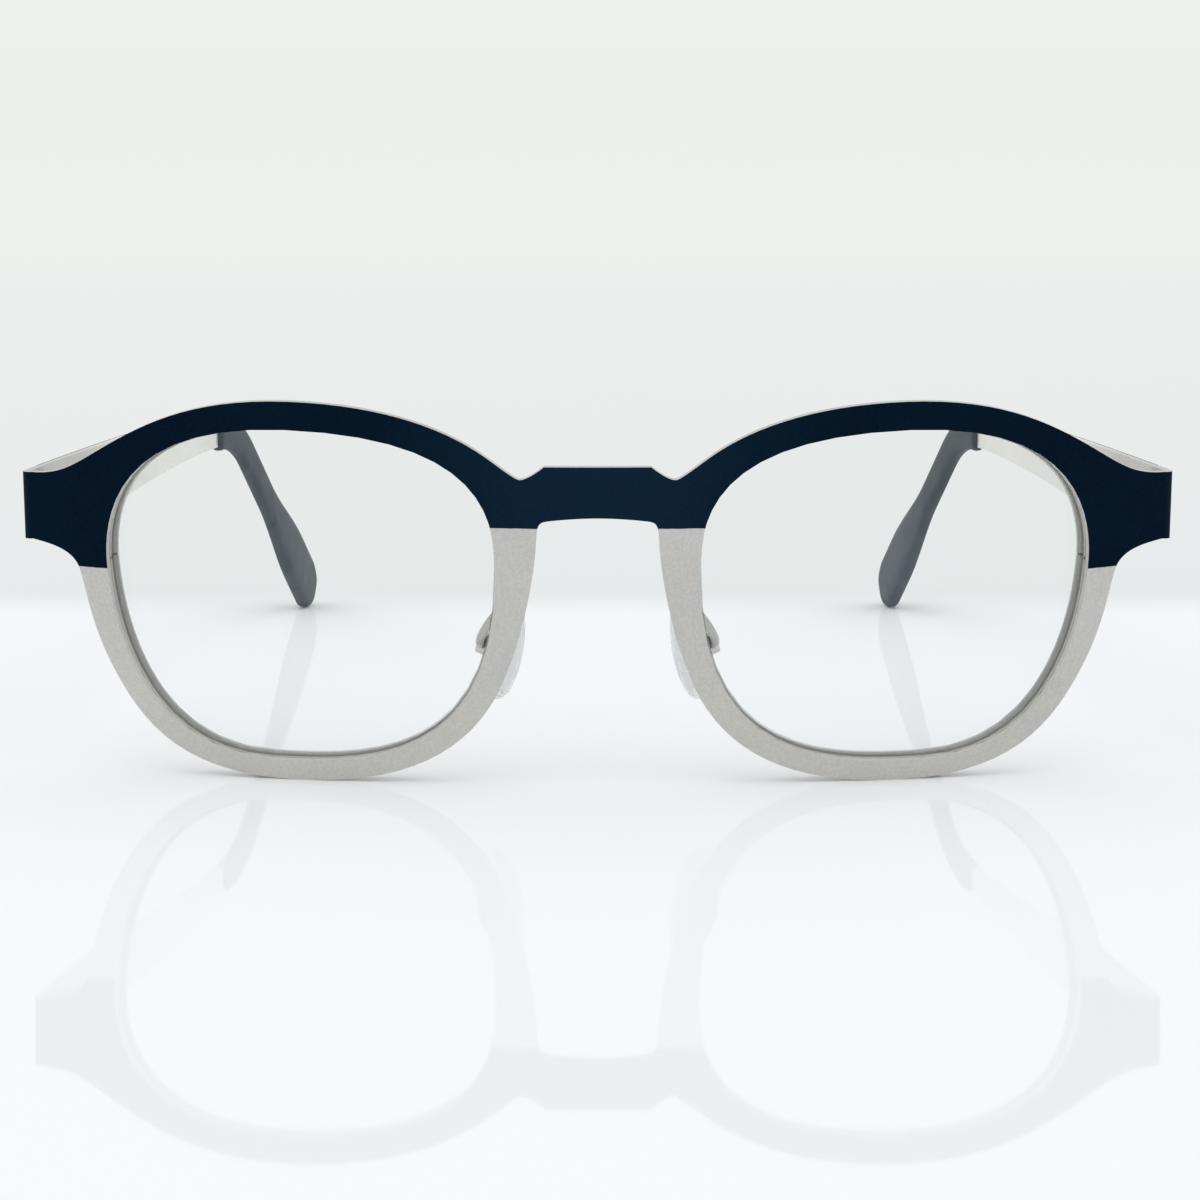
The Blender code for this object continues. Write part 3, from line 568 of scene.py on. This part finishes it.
def filletTree(material):
    # sweeps a round bead along a path
    tree = bpy.data.node_groups.new("brazeFillet", "GeometryNodeTree")
    tree.interface.new_socket("Geometry", in_out="INPUT", socket_type="NodeSocketGeometry")
    tree.interface.new_socket("Bead radius", in_out="INPUT", socket_type="NodeSocketFloat")
    tree.interface.new_socket("Geometry", in_out="OUTPUT", socket_type="NodeSocketGeometry")
    enter = tree.nodes.new("NodeGroupInput")
    leave = tree.nodes.new("NodeGroupOutput")
    toCurve = tree.nodes.new("GeometryNodeMeshToCurve")
    circle = tree.nodes.new("GeometryNodeCurvePrimitiveCircle")
    circle.inputs["Resolution"].default_value = braze["sides"]
    sweep = tree.nodes.new("GeometryNodeCurveToMesh")
    realize = tree.nodes.new("GeometryNodeRealizeInstances")
    paint = tree.nodes.new("GeometryNodeSetMaterial")
    paint.inputs["Material"].default_value = material
    smooth = tree.nodes.new("GeometryNodeSetShadeSmooth")
    links = [
        (enter.outputs["Geometry"], toCurve.inputs["Mesh"]),
        (enter.outputs["Bead radius"], circle.inputs["Radius"]),
        (toCurve.outputs["Curve"], sweep.inputs["Curve"]),
        (circle.outputs["Curve"], sweep.inputs["Profile Curve"]),
        (sweep.outputs["Mesh"], realize.inputs["Geometry"]),
        (realize.outputs["Geometry"], smooth.inputs["Geometry"]),
        (smooth.outputs["Geometry"], paint.inputs["Geometry"]),
        (paint.outputs["Geometry"], leave.inputs["Geometry"]),
    ]
    for start, end in links:
        tree.links.new(start, end)
    return tree


def brazeFillet(side, tree):
    # the solder line where the eyewire meets the back of the sheet
    sign = sides[side]
    outset = braze["wireWidth"] + braze["sink"]
    depth = braze["sheet"] + braze["sink"]
    points = [onFront(p.x, depth, p.y) for p in eyePath(braze["steps"], outset)]
    points = [Vector((sign * p.x, p.y, p.z)) for p in points]
    path = bpy.data.meshes.new("fillet_path")
    count = len(points)
    path.from_pydata(points, [(i, (i + 1) % count) for i in range(count)], [])
    guide = bpy.data.objects.new("fillet_guide", path)
    scene.collection.objects.link(guide)
    modifier = guide.modifiers.new("fillet", "NODES")
    modifier.node_group = tree
    sizes = {item.name: item.identifier for item in tree.interface.items_tree if item.in_out == "INPUT"}
    modifier[sizes["Bead radius"]] = braze["leg"]
    bpy.context.view_layer.update()
    graph = bpy.context.evaluated_depsgraph_get()
    mesh = bpy.data.meshes.new_from_object(guide.evaluated_get(graph))
    bpy.data.objects.remove(guide, do_unlink=True)
    shell = bmesh.new()
    shell.from_mesh(mesh)
    bmesh.ops.recalc_face_normals(shell, faces=shell.faces)
    shell.to_mesh(mesh)
    shell.free()
    asPiece(f"braze_fillet_{side}", mesh, nickelFinish, "front")


fillet = filletTree(nickelFinish)
for side in sides:
    brazeFillet(side, fillet)
print("braze fillets made")

joint = {
    "dark": tone(0.035, 0.036, 0.038), "roughSpecks": 4000, "rough": 0.75, "roughVaries": 0.2,
    "at": 25.64 * mm, "high": 0.26 * mm, "wall": ((0.775 * mm, 1.425 * mm), (0.95 * mm, 3.35 * mm)),
    "frontLip": ((0.05 * mm, 0.77 * mm), (0.95 * mm, 1.32 * mm)),
    "backLip": ((0.05 * mm, 0.77 * mm), (2.98 * mm, 3.35 * mm)),
}


def paintedSplitShade():
    # painted shade: a near-black matt colour for the shade inside the split
    finish = Finish("paintedSplitShade")
    roughSpecks = finish.noise(joint["roughSpecks"], 3.0)
    rough = joint["rough"] + joint["roughVaries"] * roughSpecks
    return finish.done(finish.shader({"Base Color": joint["dark"], "Roughness": rough}))


def jointLine(side, material):
    # painted shade: a dark block in the closed split of an eyewire, clear of the lens, standing in for the
    # shade in the narrow gap
    sign = sides[side]
    inner = eye["nose"] + eye["width"]
    shell = bmesh.new()
    for out, back in (joint["wall"], joint["frontLip"], joint["backLip"]):
        for vert in bmesh.ops.create_cube(shell, size=1.0)["verts"]:
            along = inner + out[vert.co.x > 0]
            place = onFront(along, back[vert.co.y > 0], joint["at"] + vert.co.z * joint["high"])
            vert.co = (sign * place.x, place.y, place.z)
    bmesh.ops.recalc_face_normals(shell, faces=shell.faces)
    mesh = bpy.data.meshes.new(f"joint_line_{side}")
    shell.to_mesh(mesh)
    shell.free()
    asPiece(f"joint_line_{side}", mesh, material, "front")


splitShadeFinish = paintedSplitShade()
for side in sides:
    jointLine(side, splitShadeFinish)
print("joint lines made")

studio = {
    "floor": tone(0.93, 0.94, 0.955), "wall": tone(0.803, 0.826, 0.818), "far": tone(0.893, 0.908, 0.875),
    "sky": tone(0.855, 0.871, 0.847), "lightTone": tone(0.985, 0.99, 1.0), "light": 0.96,
    "sweepFrom": 62 * mm, "sweepTo": 84 * mm, "farAt": 1100 * mm, "gloss": 0.10, "glossRough": 0.03,
    "size": 60.0, "lamp": 1.1, "lampSize": 1.1, "lampAt": (-0.25, -0.35, 1.1),
    "lampAim": Vector((0, 0, 0.02)),
}


def paleFloor():
    # glossy white near the object, a matt pale sweep behind it, with painted shade: the sweep is darker where
    # it starts and paler far away, standing in for how light falls on a backdrop
    finish = Finish("paleFloor")
    at = finish.split(finish.place())
    back = ((at["Y"] - studio["sweepFrom"]) / (studio["sweepTo"] - studio["sweepFrom"])).clamp()
    away = ((at["Y"] - studio["sweepTo"]) / studio["farAt"]).clamp()
    wall = finish.mix(away, studio["wall"], studio["far"])
    colour = finish.mix(back, studio["floor"], wall)
    matt = finish.node("ShaderNodeBsdfDiffuse", None, {"Color": colour})["BSDF"]
    gloss = {"Color": tone(1, 1, 1), "Roughness": studio["glossRough"]}
    shine = finish.node("ShaderNodeBsdfGlossy", None, gloss)["BSDF"]
    part = studio["gloss"] * (1 - back)
    return finish.done(finish.node("ShaderNodeMixShader", None, [part, matt, shine])["Shader"])


def softSky():
    # even light, with the backdrop's own tone where the camera looks past the floor
    world = bpy.data.worlds.new("softSky")
    world.use_nodes = True
    tree = world.node_tree
    light = tree.nodes["Background"]
    light.inputs["Color"].default_value = studio["lightTone"]
    light.inputs["Strength"].default_value = studio["light"]
    seen = tree.nodes.new("ShaderNodeBackground")
    seen.inputs["Color"].default_value = studio["sky"]
    path = tree.nodes.new("ShaderNodeLightPath")
    choose = tree.nodes.new("ShaderNodeMixShader")
    tree.links.new(path.outputs["Is Camera Ray"], choose.inputs[0])
    tree.links.new(light.outputs[0], choose.inputs[1])
    tree.links.new(seen.outputs[0], choose.inputs[2])
    tree.links.new(choose.outputs[0], tree.nodes["World Output"].inputs["Surface"])
    scene.world = world


def makeStudio():
    half = studio["size"] / 2
    mesh = bpy.data.meshes.new("floor")
    sheet = bmesh.new()
    bmesh.ops.create_grid(sheet, x_segments=1, y_segments=1, size=half)
    sheet.to_mesh(mesh)
    sheet.free()
    mesh.materials.append(paleFloor())
    floor = bpy.data.objects.new("floor", mesh)
    scene.collection.objects.link(floor)
    softSky()
    lamp = bpy.data.lights.new("overhead", "AREA")
    lamp.energy = studio["lamp"]
    lamp.size = studio["lampSize"]
    hung = bpy.data.objects.new("overhead", lamp)
    hung.location = studio["lampAt"]
    hung.rotation_euler = (studio["lampAim"] - hung.location).to_track_quat("-Z", "Y").to_euler()
    scene.collection.objects.link(hung)


camera = {
    "place": (0, -498.94 * mm, 87.63 * mm), "pitch": radians(7.863), "lens": 110.84,
    "shift": (0.002, -0.0427), "sensor": 36.0, "near": 0.01, "far": 100.0,
}


def makeCamera():
    data = bpy.data.cameras.new("camera")
    data.lens = camera["lens"]
    data.sensor_width = camera["sensor"]
    data.shift_x, data.shift_y = camera["shift"]
    data.clip_start, data.clip_end = camera["near"], camera["far"]
    eyePoint = bpy.data.objects.new("camera", data)
    eyePoint.location = camera["place"]
    eyePoint.rotation_euler = (pi / 2 - camera["pitch"], 0, 0)
    scene.collection.objects.link(eyePoint)
    scene.camera = eyePoint


makeStudio()
makeCamera()
print("studio and camera made")
